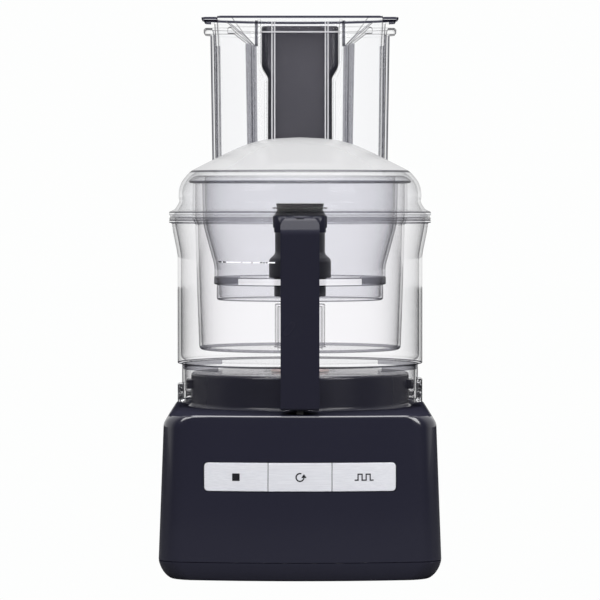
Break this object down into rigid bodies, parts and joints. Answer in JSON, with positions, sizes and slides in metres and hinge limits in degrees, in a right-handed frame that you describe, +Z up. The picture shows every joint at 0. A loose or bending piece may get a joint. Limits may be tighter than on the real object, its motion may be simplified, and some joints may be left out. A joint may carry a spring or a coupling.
{
  "type": "food processor",
  "caption": "Food processor with a motor base, push buttons, nested clear bowls, a small blade, and a domed lid whose wide feed tube holds two pushers.",
  "frame": {"origin": "on the bowl and drive axis, at the level the feet stand on", "axes": "+Z up along the drive axis, -Y towards the front with the buttons and the bowl handle, +X to the right seen from the front"},
  "size_m": [0.2114, 0.266, 0.425],
  "materials": {
    "navy_gloss": "glossy moulded",
    "navy_satin": "satin moulded",
    "clear_plastic": "clear polished",
    "smoked_plastic": "smoked, semi-gloss",
    "button_steel": "brushed sideways",
    "steel": "ground",
    "aluminium": "die cast",
    "lamination": "stacked sheet",
    "copper": "enamelled wire",
    "rubber": "matt",
    "seal": "matt",
    "dark_plastic": "matt moulded",
    "board": "solder mask",
    "capacitor_can": "satin"
  },
  "bodies": {
    "base": {"housing": "navy_gloss", "base_plate": "navy_satin", "foot_front_left": "rubber", "foot_front_right": "rubber", "foot_back_right": "rubber", "foot_back_left": "rubber", "base_screw_1": "steel", "base_screw_2": "steel", "base_screw_3": "steel", "base_screw_4": "steel", "cord_gland": "rubber", "shaft_seal": "seal", "button_frame": "dark_plastic", "stop_switch": "dark_plastic", "auto_switch": "dark_plastic", "pulse_switch": "dark_plastic", "control_board": "board", "motor_stator": "lamination", "upper_winding": "copper", "lower_winding": "copper", "upper_end_bell": "aluminium", "lower_end_bell": "aluminium", "upper_bearing": "steel", "lower_bearing": "steel", "run_capacitor": "capacitor_can", "motor_bolt_1": "steel", "motor_bolt_2": "steel", "motor_bolt_3": "steel", "motor_bolt_4": "steel", "interlock_spring": "steel", "interlock_switch": "dark_plastic"},
    "drive": {"drive_shaft": "steel", "rotor": "lamination", "cooling_fan": "dark_plastic"},
    "stop_key": {"stop_button": "button_steel"},
    "auto_key": {"auto_button": "button_steel"},
    "pulse_key": {"pulse_button": "button_steel"},
    "plunger": {"interlock_plunger": "dark_plastic"},
    "bowl": {"main_bowl": "clear_plastic", "bowl_skirt": "clear_plastic", "bowl_handle": "navy_gloss"},
    "rod": {"interlock_rod": "dark_plastic"},
    "midi": {"midi_bowl": "clear_plastic"},
    "mini": {"mini_bowl": "clear_plastic"},
    "blade": {"blade_hub": "navy_satin", "lower_blade": "steel", "upper_blade": "steel"},
    "cover": {"lid": "clear_plastic", "feed_tube": "clear_plastic"},
    "big_pusher": {"large_pusher": "clear_plastic"},
    "inner_pusher": {"small_pusher": "smoked_plastic"}
  },
  "joints": [
    {"name": "drive_spin", "type": "hinge", "parent": "base", "child": "drive", "pos_m": [0, 0, 0.1], "axis": [0, 0, 1], "continuous": true},
    {"name": "stop_press", "type": "slide", "parent": "base", "child": "stop_key", "axis": [0, 1, 0], "range_m": [0, 0.0016], "stiffness_N_per_m": 1500},
    {"name": "auto_press", "type": "slide", "parent": "base", "child": "auto_key", "axis": [0, 1, 0], "range_m": [0, 0.0016], "stiffness_N_per_m": 1500},
    {"name": "pulse_press", "type": "slide", "parent": "base", "child": "pulse_key", "axis": [0, 1, 0], "range_m": [0, 0.0016], "stiffness_N_per_m": 1500},
    {"name": "bowl_turn", "type": "hinge", "parent": "base", "child": "bowl", "pos_m": [0, 0, 0.1265], "axis": [0, 0, 1], "range_deg": [0, 25]},
    {"name": "lid_lift", "type": "slide", "parent": "bowl", "child": "cover", "axis": [0, 0, 1], "range_m": [0, 0.33]},
    {"name": "midi_lift", "type": "slide", "parent": "bowl", "child": "midi", "axis": [0, 0, 1], "range_m": [0, 0.11]},
    {"name": "mini_lift", "type": "slide", "parent": "midi", "child": "mini", "axis": [0, 0, 1], "range_m": [0, 0.099]},
    {"name": "blade_lift", "type": "slide", "parent": "drive", "child": "blade", "axis": [0, 0, 1], "range_m": [0, 0.308]},
    {"name": "rod_rise", "type": "slide", "parent": "bowl", "child": "rod", "axis": [0, 0, 1], "range_m": [0, 0.0027]},
    {"name": "plunger_rise", "type": "slide", "parent": "base", "child": "plunger", "axis": [0, 0, 1], "range_m": [0, 0.0027], "deforming": ["interlock_spring"]},
    {"name": "large_pusher_lift", "type": "slide", "parent": "cover", "child": "big_pusher", "axis": [0, 0, 1], "range_m": [0, 0.12]},
    {"name": "small_pusher_lift", "type": "slide", "parent": "big_pusher", "child": "inner_pusher", "axis": [0, 0, 1], "range_m": [0, 0.115]}
  ],
  "couplings": [
    {"joint": "midi_lift", "follows": "lid_lift", "ratio": 0.33333},
    {"joint": "mini_lift", "follows": "lid_lift", "ratio": 0.3},
    {"joint": "blade_lift", "follows": "lid_lift", "ratio": 0.93333},
    {"joint": "rod_rise", "follows": "lid_lift", "ratio": 0.00818},
    {"joint": "plunger_rise", "follows": "lid_lift", "ratio": 0.00818}
  ]
}
